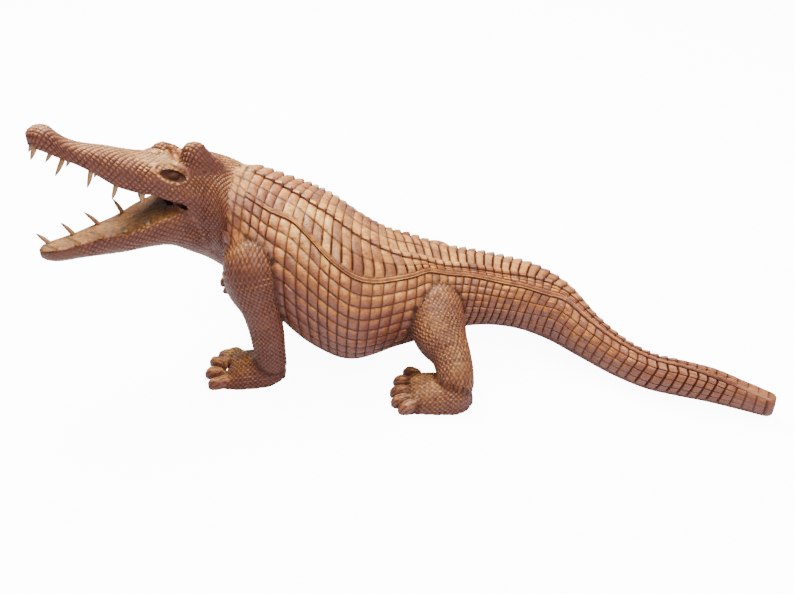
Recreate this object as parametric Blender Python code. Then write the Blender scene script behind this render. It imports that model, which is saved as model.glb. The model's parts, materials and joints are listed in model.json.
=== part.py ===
# A carved hardwood crocodile with its mouth open, standing on four feet.
# The head is toward -X and turned to the crocodile's left (-Y), the tail lies on the ground toward +X.
# The carving is one piece of wood; the twenty teeth are separate pegs set into drilled holes.
# All free-form tables are in carving units. One unit is one millimetre on a figure 590 mm long.

import math

import bmesh
import bpy
from mathutils import Matrix, Vector

# Driving sizes, metres.
FIGURE_LENGTH = 0.590
UNIT = FIGURE_LENGTH / 590.0

# Teeth and the holes they sit in.
TOOTH_RADIUS = 0.0020
TOOTH_ROOT = 0.0035
HOLE_CLEARANCE = 0.00035
HOLE_DEPTH = TOOTH_ROOT + HOLE_CLEARANCE
TOOTH_SIDES = 6
TOOTH_BEND = 0.10

# Carved tiles of the trunk and tail.
TILE_LENGTH = 10.0 * UNIT
TILE_RELIEF = 1.3 * UNIT
CREST_RELIEF = 3.2 * UNIT
BAND_RELIEF = 1.6 * UNIT
TRUNK_TILE_ROWS = 8
TAIL_TILE_ROWS = 4

# Row lines of the tiles, named by their angle round a plain section, degrees from the top of the back.
CREST_ANGLE = 14.0
SHOULDER_ANGLE = 27.0
BAND_TOP_ANGLE = 38.0
BAND_LOW_ANGLE = 43.0
FLANK_END_ANGLE = 123.0

# Where the rows really run, because they wander along the body: x, middle between the two crests,
# half the angle between them, then the left band's middle and the left lowest row.
ROW_LAYOUT = [
    (-134, -18, 13, 27, 116),
    (-100, -17, 13.5, 28.5, 118),
    (-80, -14, 15, 27, 119),
    (-67, -10, 15, 33, 121),
    (-52, -8, 15, 41, 122),
    (-22, -2, 15, 48, 127),
    (5, 4, 18.5, 44, 129),
    (27, 0, 21, 34, 124),
    (56, -3, 23, 34, 119),
    (99, -1, 22, 39, 113),
    (125, -3, 18, 37, 110),
    (140, -7, 14, 31, 104),
    (155, -13, 9, 16, 96),
    (172, -16, 7, 11, 94),
    (204, -18, 6, 6, 98),
    (222, -17, 6, 8, 108),
    (249, -13, 7, 17, 104),
    (272, -9, 8, 27, 106),
    (306, -8, 8, 36, 106),
]
RIGHT_BAND = 46.0
RIGHT_LOWEST_ROW = 120.0
BAND_HALF_WIDTH = 2.4

# Head axes: S runs forward from the corners of the mouth, B to the crocodile's left.
HEAD_YAW = math.radians(26.0)
HEAD_X = -172.0
HEAD_Y = -62.0

# Mirror lines of the legs, and how far the right front foot stands ahead of the left one.
FRONT_MIRROR_Y = -42.0
FRONT_STEP = -14.0
HIND_MIRROR_Y = -59.0
HIND_STEP = 0.0

# Trunk and tail: x, y, top, bottom and half width of each section.
TRUNK = [
    (-134, -47.5, 166, 65, 48.4),
    (-122, -49, 161, 60, 52),
    (-110, -51, 155.5, 51, 55),
    (-98, -53, 150.5, 37, 59),
    (-85, -55, 145.5, 22, 64.5),
    (-72, -58, 141.5, 9, 69),
    (-59, -62, 137, 2.5, 72.5),
    (-46, -68, 131.5, 0.8, 73),
    (-33, -69, 123, 0.8, 71),
    (-20, -65, 114, 0.8, 65.5),
    (-6, -60, 106, 2, 58),
    (12, -57, 99, 5, 52),
    (39, -54, 86, 10, 43),
    (66, -52, 80, 13, 36),
    (93, -55, 76, 14, 32),
    (120, -62, 72, 12, 29),
    (145, -75, 62.5, 7, 23.5),
    (168, -97, 46.5, 3.5, 17),
    (191, -118, 36.5, 1.2, 14),
    (213, -134, 33, 0.8, 13),
    (237, -143, 33, 0.8, 13.5),
    (259, -150, 31, 0.8, 13),
    (281, -160, 27.5, 0.8, 10.5),
    (299, -168, 23.5, 0.8, 9.5),
]

# Neck: x, y, yaw in degrees, top, bottom and half width.
NECK = [
    (-112, -50, -4, 140, 66, 38),
    (-124, -48.5, -3, 156, 64, 43),
    (-135, -47.5, -1, 165.5, 66, 47.6),
    (-149, -50, 12, 175.5, 72, 44),
    (-161, -55, 19, 181, 81, 38),
]

# Skull and upper jaw: s, top, lip height and half width.
SKULL = [
    (2, 185.5, 98, 31),
    (9, 186, 138, 29),
    (26, 188, 160, 25.5),
    (38, 192, 164, 22.5),
    (56, 200, 173, 18),
    (71, 205.5, 187, 14),
    (80, 210.5, 194.5, 12.4),
    (86, 216, 198.5, 12.6),
    (92, 223.5, 203, 12.8),
    (99, 225.5, 208, 11.6),
    (105, 224, 211.5, 9),
    (108.5, 220.5, 213.5, 4.5),
]

# Lower jaw and throat: s, lip height, underside and half width.
JAW = [
    (-18, 146, 82, 30),
    (-6, 149, 87, 31),
    (7, 149, 97, 30),
    (23, 144, 108, 26.5),
    (40, 140, 110.5, 23.5),
    (59, 134, 110.5, 19.5),
    (75, 132, 111, 15.5),
    (93, 129, 112.5, 12.5),
    (110, 127.5, 113.5, 10),
    (118, 127, 116, 6.5),
    (121.5, 125, 119, 3),
]

# Oval forms on the head: middle as s, b and height, then the radii along, across and up.
BROWS = [
    ("brow_left", (-6, 12, 179), (11.5, 12, 17.5)),
    ("nape_left", (-15, 11, 175), (15, 13, 14.5)),
    ("ear_left", (-10, 15.5, 175), (9, 7, 6)),
    ("brow_right", (13, -11.5, 172), (13, 13, 17.5)),
    ("nape_right", (-2, -11, 173), (16, 13, 14.5)),
]
MOUTH_HOLLOW = ((20, 0, 152.5), (28, 17, 8))
EYE_HOLLOW = ((13.5, 24.8, 178), (9.5, 6.5, 6.5))
EYE_BALL = ((13.5, 18.6, 173.6), (6.5, 4.6, 4.6))

# Teeth: s, b and height of the hole's mouth, then the tooth's forward, outward and upward lean
# and its free length. The holes were drilled by eye, so the two sides differ.
TEETH = {
    ("upper", "left"): [
        (104.0, 6.5, 213.0, 0.42, 0.10, -0.90, 11.0),
        (88.0, 8.5, 200.0, 0.50, 0.10, -0.86, 14.0),
        (71.0, 11.0, 187.0, 0.33, 0.10, -0.94, 12.6),
        (56.0, 14.5, 173.0, 0.38, 0.10, -0.92, 10.5),
        (38.0, 18.5, 164.0, 0.20, 0.10, -0.97, 8.5),
    ],
    ("upper", "right"): [
        (104.0, 6.5, 213.0, 0.42, 0.10, -0.90, 11.0),
        (92.5, 8.0, 203.0, 0.50, 0.10, -0.86, 13.0),
        (81.0, 9.5, 195.0, 0.40, 0.10, -0.91, 11.0),
        (64.0, 12.0, 179.5, 0.38, 0.10, -0.92, 9.5),
        (45.0, 17.0, 166.0, 0.25, 0.10, -0.96, 8.5),
    ],
    ("lower", "left"): [
        (110.0, 7.5, 127.5, 0.50, 0.42, 0.76, 12.0),
        (93.0, 9.5, 129.0, 0.40, 0.42, 0.81, 13.0),
        (75.0, 12.0, 132.0, 0.50, 0.42, 0.75, 13.5),
        (56.0, 16.0, 135.0, 0.35, 0.38, 0.86, 3.2),
        (39.0, 20.5, 140.0, 0.35, 0.30, 0.88, 1.6),
    ],
    ("lower", "right"): [
        (113.5, 5.5, 127.5, 0.55, 0.36, 0.73, 11.5),
        (94.0, 8.0, 129.0, 0.45, 0.38, 0.80, 13.0),
        (73.5, 10.5, 132.0, 0.50, 0.38, 0.76, 14.5),
        (53.0, 14.5, 136.0, 0.28, 0.34, 0.89, 13.0),
        (35.0, 18.0, 141.0, 0.20, 0.30, 0.92, 8.0),
    ],
}
# Two pegs at the back of the lower left row are broken off short.
BROKEN = [("lower", "left", 4), ("lower", "left", 5)]

# Left legs: centre line points and radius.
FRONT_LEG = [
    (-119, -72, 104, 22),
    (-119, -97, 103, 23.5),
    (-117, -108, 87, 23),
    (-112.5, -115, 70, 16.5),
    (-110, -118, 57, 15),
    (-108.5, -120, 43, 14.3),
    (-108, -121, 29, 13.6),
    (-108, -121, 14, 13.5),
]
HIND_LEG = [
    (28, -66, 52, 25),
    (31, -90, 51, 25.5),
    (34, -104, 46, 24.5),
    (38, -118, 40, 22),
    (45, -132, 33, 17),
    (48, -143, 25, 15.7),
    (49, -149, 17, 15),
    (50, -150, 12, 13.5),
]

# Left feet: x, y, half width and height of each section, then the toe tips on the ground.
FRONT_FOOT = [
    (-97, -118, 5, 12),
    (-101, -118, 10, 21),
    (-109, -119.5, 15, 26),
    (-121, -118.5, 18.5, 23),
    (-136, -115.5, 23, 16.5),
    (-149, -112, 25, 11),
]
FRONT_TOES = [(-151, -86), (-160, -91), (-165, -104), (-166, -121), (-161, -136)]
HIND_FOOT = [
    (63, -151, 6, 12),
    (59, -151, 12, 22),
    (50, -151, 17.5, 27),
    (38, -150, 19.5, 23),
    (23, -147, 22, 17.5),
    (9, -144, 24, 11.5),
]
HIND_TOES = [(6, -117), (-3, -130), (-6, -145), (-5, -158), (1, -167)]
TOE_ROOT_SHARE = 0.34
TOE_HALF_WIDTH = 5.6
TOE_HEIGHT = 11.5
TOE_LIFT = 0.5

# Outlines: angles round the head's sections, and the arches of a foot and a toe as shares of
# half width and height.
HEAD_ANGLES = [0, 26, 48, 70, 90, 112, 140, 180, 220, 248, 270, 290, 312, 334]
FOOT_ARCH = [
    (-1.0, 0.0), (-1.03, 0.32), (-0.84, 0.72), (-0.36, 0.97),
    (0.36, 0.97), (0.84, 0.72), (1.03, 0.32), (1.0, 0.0),
]
TOE_ARCH = [(-1.0, 0.0), (-1.0, 0.55), (-0.5, 0.97), (0.5, 0.97), (1.0, 0.55), (1.0, 0.0)]


def clear_scene():
    for ob in list(bpy.data.objects):
        bpy.data.objects.remove(ob, do_unlink=True)


def make_material(name, colour, roughness):
    mat = bpy.data.materials.new(name)
    mat.use_nodes = True
    shader = mat.node_tree.nodes["Principled BSDF"]
    shader.inputs["Base Color"].default_value = (*colour, 1.0)
    shader.inputs["Roughness"].default_value = roughness
    return mat


def make_object(name, bm, collection, material=None):
    bmesh.ops.triangulate(bm, faces=bm.faces[:])
    bmesh.ops.recalc_face_normals(bm, faces=bm.faces[:])
    mesh = bpy.data.meshes.new(name)
    bm.to_mesh(mesh)
    bm.free()
    if material:
        mesh.materials.append(material)
    ob = bpy.data.objects.new(name, mesh)
    collection.objects.link(ob)
    return ob


def lerp_table(table, key, value):
    """Smooth (Catmull-Rom) interpolation of a table of tuples on its rising column `key`."""
    rows = table
    n = len(rows)
    i = 0
    while i < n - 2 and rows[i + 1][key] < value:
        i += 1
    a, b = rows[i], rows[i + 1]
    span = b[key] - a[key]
    t = (value - a[key]) / span
    before = rows[i - 1] if i > 0 else a
    after = rows[i + 2] if i + 2 < n else b
    out = []
    for k in range(len(a)):
        slope_a = (b[k] - before[k]) / (b[key] - before[key])
        slope_b = (after[k] - a[k]) / (after[key] - a[key])
        h1 = 2 * t ** 3 - 3 * t ** 2 + 1
        h2 = t ** 3 - 2 * t ** 2 + t
        h3 = -2 * t ** 3 + 3 * t ** 2
        h4 = t ** 3 - t ** 2
        out.append(h1 * a[k] + h2 * span * slope_a + h3 * b[k] + h4 * span * slope_b)
    return out


def power(value, exponent):
    return math.copysign(abs(value) ** exponent, value)


def section_point(x, y, yaw, top, bottom, half, angle,
                  middle=0.5, round_top=2.0, round_low=2.0, lift=0.0):
    """Point of an upright oval section. `angle` runs from the top over the left side, in degrees."""
    a = math.radians(angle)
    mid = bottom + (top - bottom) * middle
    side = math.sin(a)
    up = math.cos(a)
    n = round_top if up >= 0 else round_low
    across = half * power(side, 2.0 / n)
    rise = (top - mid if up >= 0 else mid - bottom) * power(up, 2.0 / n)
    across += lift * side
    rise += lift * up
    return Vector((x + across * math.sin(yaw), y - across * math.cos(yaw), mid + rise)) * UNIT


def head_point(s, b, z):
    """Point in the head's own axes, in carving units, to metres."""
    x = HEAD_X - s * math.cos(HEAD_YAW) + b * math.sin(HEAD_YAW)
    y = HEAD_Y - s * math.sin(HEAD_YAW) - b * math.cos(HEAD_YAW)
    return Vector((x, y, z)) * UNIT


def loft(rings):
    """Closed skin over rings of equal count, with flat end caps."""
    bm = bmesh.new()
    rows = [[bm.verts.new(p) for p in ring] for ring in rings]
    count = len(rows[0])
    for low, high in zip(rows, rows[1:]):
        for i in range(count):
            j = (i + 1) % count
            bm.faces.new((low[i], low[j], high[j], high[i]))
    bm.faces.new(rows[0])
    bm.faces.new(rows[-1])
    return bm


def trunk_stations():
    """Sections one tile apart along the curved middle line, each with the yaw of that line."""
    fine = []
    x = TRUNK[0][0]
    while x <= TRUNK[-1][0]:
        fine.append(lerp_table(TRUNK, 0, x))
        x += 1.0
    lengths = [0.0]
    for a, b in zip(fine, fine[1:]):
        lengths.append(lengths[-1] + math.hypot(b[0] - a[0], b[1] - a[1]))
    count = round(lengths[-1] * UNIT / TILE_LENGTH)
    out = []
    for i in range(count + 1):
        want = lengths[-1] * i / count
        k = min(range(len(lengths)), key=lambda q: abs(lengths[q] - want))
        row = fine[k]
        reach = round(row[4] * 0.8)
        before = fine[max(k - reach, 0)]
        after = fine[min(k + reach, len(fine) - 1)]
        yaw = math.atan2(after[1] - before[1], after[0] - before[0])
        out.append((row[0], row[1], yaw, row[2], row[3], row[4]))
    return out


def column_angles(rows):
    """Tile edges from the middle of the back down one side, with a flag for what the strip carries."""
    edges = [(CREST_ANGLE, "tile"), (SHOULDER_ANGLE, "tile")]
    edges += [(BAND_TOP_ANGLE, "band"), (BAND_LOW_ANGLE, "tile")]
    step = (FLANK_END_ANGLE - BAND_LOW_ANGLE) / rows
    for i in range(1, rows + 1):
        edges.append((BAND_LOW_ANGLE + step * i, "tile" if i < rows - rows // 4 else "plain"))
    edges.append(((FLANK_END_ANGLE + 180.0) / 2.0, "plain"))
    return edges


def placed_angle(x, named):
    """Angle at which a row line really runs at x. Lines past 180 degrees are on the right side."""
    _, middle, crest, band, lowest = lerp_table(ROW_LAYOUT, 0, x)
    half = lerp_table(TRUNK, 0, x)[4]
    right = named > 180.0
    if right:
        middle, band, lowest = -middle, RIGHT_BAND, RIGHT_LOWEST_ROW
    reach = min(7.0, math.degrees(BAND_HALF_WIDTH / half))
    knots = [
        (0.0, middle), (CREST_ANGLE, middle + crest), (BAND_TOP_ANGLE, band - reach),
        (BAND_LOW_ANGLE, band + reach), (FLANK_END_ANGLE, lowest), (180.0, 180.0),
    ]
    wanted = 360.0 - named if right else named
    for (a, low), (b, high) in zip(knots, knots[1:]):
        if wanted <= b:
            placed = low + (high - low) * (wanted - a) / (b - a)
            return 360.0 - placed if right else placed


def strips(rows):
    """All strips round the section as (start angle, end angle, kind), starting left of the back."""
    edges = column_angles(rows)
    left = []
    for (a, kind), (b, _) in zip(edges, edges[1:]):
        left.append((a, b, kind))
    left.append((edges[-1][0], 180.0, "plain"))
    right = [(360.0 - b, 360.0 - a, kind) for a, b, kind in reversed(left)]
    return left + right + [(360.0 - CREST_ANGLE, 360.0 + CREST_ANGLE, "tile")]


def trunk_mesh():
    stations = trunk_stations()
    count = len(stations) - 1
    split = round(count * 0.55)
    fine = strips(TRUNK_TILE_ROWS)
    coarse = strips(TAIL_TILE_ROWS)
    bm = bmesh.new()
    grid = []

    def base(i, angle, lift=0.0):
        x, y, yaw, top, bottom, half = stations[i]
        return section_point(x, y, yaw, top, bottom, half, placed_angle(x, angle), lift=lift)

    def core(i):
        x, y, yaw, top, bottom, half = stations[i]
        return Vector((x, y, (top + bottom) / 2.0)) * UNIT

    for i in range(count + 1):
        kinds = fine if i <= split else coarse
        ring = {}
        for a, b, kind in kinds:
            key = round(a % 360.0, 3)
            on_band = round(min(key, 360.0 - key), 3) in (BAND_TOP_ANGLE, BAND_LOW_ANGLE)
            ring[key] = bm.verts.new(base(i, key, BAND_RELIEF / UNIT if on_band else 0.0))
        grid.append(ring)

    crest_keys = (CREST_ANGLE, 360.0 - CREST_ANGLE)
    for i in range(count):
        crests = {}
        for key in crest_keys:
            fade = min(1.0, (count - i) / 12.0)
            low = base(i, key, CREST_RELIEF / UNIT * fade)
            high = base(i + 1, key, CREST_RELIEF / UNIT * fade)
            crests[key] = bm.verts.new(low.lerp(high, 0.68))
        for a, b, kind in (fine if i < split else coarse):
            start, end = round(a % 360.0, 3), round(b % 360.0, 3)

            def between(ring):
                keys = []
                for key in ring:
                    turn = (key - a) % 360.0
                    if turn <= (b - a) + 1e-6:
                        keys.append((turn, key))
                return [ring[key] for _, key in sorted(keys)]

            loop = between(grid[i])
            if end in crests:
                loop.append(crests[end])
            loop += reversed(between(grid[i + 1]))
            if start in crests:
                loop.append(crests[start])
            if kind != "tile":
                bm.faces.new(loop)
                continue
            middle = Vector((0, 0, 0))
            for v in loop:
                middle += v.co
            middle /= len(loop)
            out = (middle - (core(i) + core(i + 1)) / 2.0).normalized()
            angle = ((a + b) / 2.0) % 360.0
            on_skin = (base(i, angle) + base(i + 1, angle)) / 2.0
            centre = bm.verts.new(on_skin + out * TILE_RELIEF)
            for v, w in zip(loop, loop[1:] + loop[:1]):
                bm.faces.new((v, w, centre))
    first = [grid[0][key] for key in sorted(grid[0])]
    bm.faces.new(first)

    # The tail ends in a squared tip with rounded corners.
    last = grid[-1]
    keys = sorted(last)
    x, y, yaw, top, bottom, half = stations[-1]
    for ahead, size in ((4.5, 0.93), (7.0, 0.72)):
        mid = (top + bottom) / 2.0
        ring = {}
        for key in keys:
            p = section_point(x + ahead * math.cos(yaw), y + ahead * math.sin(yaw), yaw,
                              mid + (top - mid) * size, mid - (mid - bottom) * size, half * size,
                              placed_angle(x, key))
            ring[key] = bm.verts.new(p)
        for key, nxt in zip(keys, keys[1:] + keys[:1]):
            bm.faces.new((last[key], last[nxt], ring[nxt], ring[key]))
        last = ring
    bm.faces.new([last[key] for key in keys])
    return bm


def head_mesh():
    """Neck, skull and upper jaw in one skin."""
    rings = []
    for x, y, yaw, top, bottom, half in NECK:
        rings.append([section_point(x, y, math.radians(yaw), top, bottom, half, a) for a in HEAD_ANGLES])
    for k, (s, top, lip, half) in enumerate(SKULL):
        x = HEAD_X - s * math.cos(HEAD_YAW)
        y = HEAD_Y - s * math.sin(HEAD_YAW)
        flat = min(1.0, k / 2.0)
        rings.append([
            section_point(x, y, HEAD_YAW, top, lip, half, a, middle=0.5 - 0.25 * flat,
                          round_top=2.0 + 0.7 * flat, round_low=2.0 + 3.0 * flat)
            for a in HEAD_ANGLES
        ])
    return loft(rings)


def jaw_mesh():
    """Lower jaw and throat: flat above, rounded below."""
    rings = []
    for s, lip, bottom, half in JAW:
        x = HEAD_X - s * math.cos(HEAD_YAW)
        y = HEAD_Y - s * math.sin(HEAD_YAW)
        rings.append([
            section_point(x, y, HEAD_YAW, lip, bottom, half, a, middle=0.72, round_top=5.0, round_low=2.1)
            for a in HEAD_ANGLES
        ])
    return loft(rings)


def ellipsoid(centre, radii, tilt=0.0, segments=10, rings=6):
    """Oval ball with its long axis along the head, its front end tilted up or down."""
    bm = bmesh.new()
    bmesh.ops.create_uvsphere(bm, u_segments=segments, v_segments=rings, radius=1.0)
    size = Matrix.Diagonal((radii[0] * UNIT, radii[1] * UNIT, radii[2] * UNIT, 1.0))
    spin = Matrix.Rotation(HEAD_YAW, 4, "Z") @ Matrix.Rotation(tilt, 4, "Y")
    bmesh.ops.transform(bm, matrix=Matrix.Translation(centre) @ spin @ size, verts=bm.verts[:])
    return bm


def mirrored(point, mirror_y, step):
    return (point[0] + step, 2.0 * mirror_y - point[1]) + tuple(point[2:])


def leg_mesh(path):
    """Round limb along its centre line."""
    sides = 8
    rings = []
    points = [Vector(p[:3]) for p in path]
    for k, p in enumerate(points):
        ahead = points[min(k + 1, len(points) - 1)]
        behind = points[max(k - 1, 0)]
        along = (ahead - behind).normalized()
        if k == len(points) - 1:
            along = Vector((0, 0, -1))
        front = Vector((1, 0, 0))
        front = (front - along * front.dot(along)).normalized()
        side = along.cross(front)
        r = path[k][3]
        ring = []
        for i in range(sides):
            a = 2 * math.pi * (i + 0.5) / sides
            ring.append((p + (front * math.cos(a) + side * math.sin(a)) * r) * UNIT)
        rings.append(ring)
    return loft(rings)


def foot_mesh(sections):
    """Arched foot with a flat sole on the ground."""
    rings = []
    for x, y, half, height in sections:
        rings.append([Vector((x, y + half * a, height * b)) * UNIT for a, b in FOOT_ARCH])
    return loft(rings)


def toe_mesh(tip, ankle_x, ankle_y):
    """Blunt toe from inside the foot, a share of the way to the ankle, to its tip."""
    tip = Vector((tip[0], tip[1], 0))
    ankle = Vector((ankle_x, ankle_y, 0))
    back = (ankle - tip).normalized()
    root = tip.lerp(ankle, TOE_ROOT_SHARE)
    across = Vector((-back.y, back.x, 0))
    rings = []
    for part, wide, high in ((0.0, 1.0, 1.0), (0.7, 0.92, 0.85), (1.0, 0.4, 0.45)):
        p = root.lerp(tip, part)
        ring = []
        for a, b in TOE_ARCH:
            q = p + across * a * TOE_HALF_WIDTH * wide + Vector((0, 0, TOE_LIFT + b * TOE_HEIGHT * high))
            ring.append(q * UNIT)
        rings.append(ring)
    return loft(rings)


def tooth_axes(row, side):
    s, b, z, forward, outward, up, length = row
    sign = 1.0 if side == "left" else -1.0
    mouth = head_point(s, b * sign, z)
    tip = head_point(s + forward, (b + outward) * sign, z + up)
    along = (tip - mouth).normalized()
    lean = head_point(s + 1.0, b * sign, z) - mouth
    lean = (lean - along * lean.dot(along)).normalized()
    return mouth, along, lean


def tooth_mesh(row, side, broken):
    """Tapered peg, bent a little forward, or cut off square where it is broken."""
    mouth, along, lean = tooth_axes(row, side)
    length = row[6]
    cross = along.cross(lean)
    steps = [(-TOOTH_ROOT, 1.0), (0.0, 1.0)]
    if broken:
        steps.append((length * UNIT, 0.86))
    else:
        steps += [(length * UNIT * 0.55, 0.82), (length * UNIT * 0.82, 0.48), (length * UNIT, 0.1)]
    rings = []
    for distance, share in steps:
        free = max(distance, 0.0)
        bend = TOOTH_BEND * free * free / (15.0 * UNIT)
        p = mouth + along * distance + lean * bend
        ring = []
        for i in range(TOOTH_SIDES):
            a = 2 * math.pi * i / TOOTH_SIDES
            ring.append(p + (lean * math.cos(a) + cross * math.sin(a)) * TOOTH_RADIUS * share)
        rings.append(ring)
    return loft(rings)


def hole_mesh(row, side):
    """Drill for one tooth: the tooth's own outline opened by the clearance."""
    mouth, along, lean = tooth_axes(row, side)
    cross = along.cross(lean)
    radius = (TOOTH_RADIUS + HOLE_CLEARANCE) / math.cos(math.pi / TOOTH_SIDES)
    rings = []
    for distance in (-HOLE_DEPTH, 3.0 * UNIT):
        p = mouth + along * distance
        ring = []
        for i in range(TOOTH_SIDES):
            a = 2 * math.pi * i / TOOTH_SIDES
            ring.append(p + (lean * math.cos(a) + cross * math.sin(a)) * radius)
        rings.append(ring)
    return loft(rings)


def build():
    clear_scene()
    parts = bpy.data.collections.new("carved_crocodile")
    tools = bpy.data.collections.new("cutters")
    joined = bpy.data.collections.new("joined_forms")
    cut = bpy.data.collections.new("cut_forms")
    eyes = bpy.data.collections.new("eye_forms")
    bpy.context.scene.collection.children.link(parts)
    bpy.context.scene.collection.children.link(tools)
    for group in (joined, cut, eyes):
        tools.children.link(group)

    wood = make_material("varnished_hardwood", (0.28, 0.10, 0.04), 0.35)
    carving = make_object("carving", trunk_mesh(), parts, wood)

    make_object("head_form", head_mesh(), joined)
    make_object("jaw_form", jaw_mesh(), joined)
    for name, centre, radii in BROWS:
        make_object(name, ellipsoid(head_point(*centre), radii), joined)

    for side in ("left", "right"):
        front = FRONT_LEG
        hind = HIND_LEG
        front_foot = FRONT_FOOT
        hind_foot = HIND_FOOT
        front_toes = FRONT_TOES
        hind_toes = HIND_TOES
        if side == "right":
            steps = [FRONT_STEP * (0.4 if k < 2 else 1.0) for k in range(len(front))]
            front = [mirrored(p, FRONT_MIRROR_Y, step) for p, step in zip(front, steps)]
            hind = [mirrored(p, HIND_MIRROR_Y, HIND_STEP) for p in hind]
            front_foot = [mirrored(p, FRONT_MIRROR_Y, FRONT_STEP) for p in front_foot]
            hind_foot = [mirrored(p, HIND_MIRROR_Y, HIND_STEP) for p in hind_foot]
            front_toes = [mirrored(p, FRONT_MIRROR_Y, FRONT_STEP) for p in front_toes]
            hind_toes = [mirrored(p, HIND_MIRROR_Y, HIND_STEP) for p in hind_toes]
        make_object("front_leg_" + side, leg_mesh(front), joined)
        make_object("hind_leg_" + side, leg_mesh(hind), joined)
        make_object("front_foot_" + side, foot_mesh(front_foot), joined)
        make_object("hind_foot_" + side, foot_mesh(hind_foot), joined)
        for limb, toes, foot in (("front", front_toes, front_foot), ("hind", hind_toes, hind_foot)):
            for k, tip in enumerate(toes):
                toe = toe_mesh(tip, foot[2][0], foot[2][1])
                make_object("%s_toe_%s_%d" % (limb, side, k + 1), toe, joined)

    hollow = ellipsoid(head_point(*MOUTH_HOLLOW[0]), MOUTH_HOLLOW[1], math.radians(16))
    make_object("mouth_hollow", hollow, cut)
    for tag, sign in (("left", 1), ("right", -1)):
        s, b, z = EYE_HOLLOW[0]
        hollow = ellipsoid(head_point(s, b * sign, z), EYE_HOLLOW[1], math.radians(22))
        make_object("eye_hollow_" + tag, hollow, cut)
        s, b, z = EYE_BALL[0]
        ball = ellipsoid(head_point(s, b * sign, z), EYE_BALL[1], segments=8, rings=5)
        make_object("eye_ball_" + tag, ball, eyes)

    for (jaw, side), rows in TEETH.items():
        for k, row in enumerate(rows):
            name = "%s_tooth_%s_%d" % (jaw, side, k + 1)
            broken = (jaw, side, k + 1) in BROKEN
            peg = make_material(name, (0.62, 0.40, 0.18), 0.4)
            make_object(name, tooth_mesh(row, side, broken), parts, peg)
            make_object("hole_" + name, hole_mesh(row, side), cut)

    steps = [("join", "UNION", joined), ("cut", "DIFFERENCE", cut), ("eyes", "UNION", eyes)]
    for label, operation, group in steps:
        mod = carving.modifiers.new(label, "BOOLEAN")
        mod.operation = operation
        mod.solver = "EXACT"
        mod.operand_type = "COLLECTION"
        mod.collection = group
    weld = carving.modifiers.new("weld", "WELD")
    weld.merge_threshold = 0.00005

    for group in (joined, cut, eyes):
        for ob in group.objects:
            ob.hide_render = True
            ob.display_type = "WIRE"

    # Bring the middle of the figure's footprint to the origin; the soles are at z = 0 already.
    bpy.context.view_layer.update()
    low = Vector((1e9, 1e9))
    high = -low
    graph = bpy.context.evaluated_depsgraph_get()
    for ob in parts.objects:
        mesh = ob.evaluated_get(graph).data
        for v in mesh.vertices:
            for k in range(2):
                low[k] = min(low[k], v.co[k])
                high[k] = max(high[k], v.co[k])
    shift = Vector(((low.x + high.x) / 2.0, (low.y + high.y) / 2.0, 0.0))
    for ob in list(parts.objects) + [o for g in (joined, cut, eyes) for o in g.objects]:
        ob.data.transform(Matrix.Translation(-shift))


build()
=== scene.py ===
# %% [markdown]
# ## A carved hardwood crocodile
# The piece is a table sculpture about 59 cm long, cut from one block of hardwood with gouge and knife. It
# stands on four short legs with its jaws wide open. The teeth are twenty thin pegs glued into drilled
# holes. This lesson dresses the plain CAD solid with the carving that the knife left on it: squared tiles
# on the body, small pointed scales on head and legs, and a brown varnish that is worn gold where hands
# touch it, with painted light on the upward faces and painted shade in the mouth and the creases. The CAD
# model is loaded first, because everything that follows has to fit it.

# %% Load the CAD frame
import json
import math
import random

import bmesh
import bpy
import numpy as np
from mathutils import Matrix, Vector, kdtree, noise

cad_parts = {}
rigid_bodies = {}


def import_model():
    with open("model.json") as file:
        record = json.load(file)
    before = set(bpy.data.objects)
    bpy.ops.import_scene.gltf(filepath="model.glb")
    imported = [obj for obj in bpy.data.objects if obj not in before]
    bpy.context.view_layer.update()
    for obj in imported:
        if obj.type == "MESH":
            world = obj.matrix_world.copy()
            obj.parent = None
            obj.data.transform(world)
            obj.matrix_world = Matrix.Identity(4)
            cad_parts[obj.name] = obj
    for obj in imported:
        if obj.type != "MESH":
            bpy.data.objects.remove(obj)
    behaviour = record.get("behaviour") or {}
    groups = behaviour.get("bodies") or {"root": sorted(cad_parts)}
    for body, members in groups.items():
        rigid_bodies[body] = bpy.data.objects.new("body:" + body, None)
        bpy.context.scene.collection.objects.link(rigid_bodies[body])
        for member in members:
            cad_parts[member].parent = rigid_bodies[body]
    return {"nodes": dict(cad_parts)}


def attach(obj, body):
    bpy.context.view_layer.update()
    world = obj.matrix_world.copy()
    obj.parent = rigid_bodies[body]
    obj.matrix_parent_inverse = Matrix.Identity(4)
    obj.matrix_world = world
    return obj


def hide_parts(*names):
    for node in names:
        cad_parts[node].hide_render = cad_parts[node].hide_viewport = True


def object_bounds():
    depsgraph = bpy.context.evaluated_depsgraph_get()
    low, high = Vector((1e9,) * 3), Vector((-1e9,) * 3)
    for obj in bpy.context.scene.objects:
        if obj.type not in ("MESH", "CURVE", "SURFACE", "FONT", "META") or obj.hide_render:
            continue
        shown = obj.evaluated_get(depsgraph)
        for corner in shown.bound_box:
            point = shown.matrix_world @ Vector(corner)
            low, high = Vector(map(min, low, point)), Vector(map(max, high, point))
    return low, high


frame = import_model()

for ob in list(bpy.data.objects):
    if ob.name in ("Cube", "Light", "Camera"):
        bpy.data.objects.remove(ob)
cad_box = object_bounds()
print("CAD nodes:", len(frame["nodes"]), "box:", [[round(c, 4) for c in corner] for corner in cad_box])

# %% [markdown]
# ## The block and its main sections
# A carver bandsaws the block to the side view and the top view before any detail is cut. These tables are
# those two views: middle line, top, underside and half width of each section, in millimetres on the whole
# figure. They are the CAD part's own sections, so the dressed surface lands on the solid.

# %% Sections of the figure
MM = 0.001
# The frame's origin, on the millimetre grid that the tables use.
ORIGIN = Vector((11.707, -61.336, 0.0))

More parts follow.
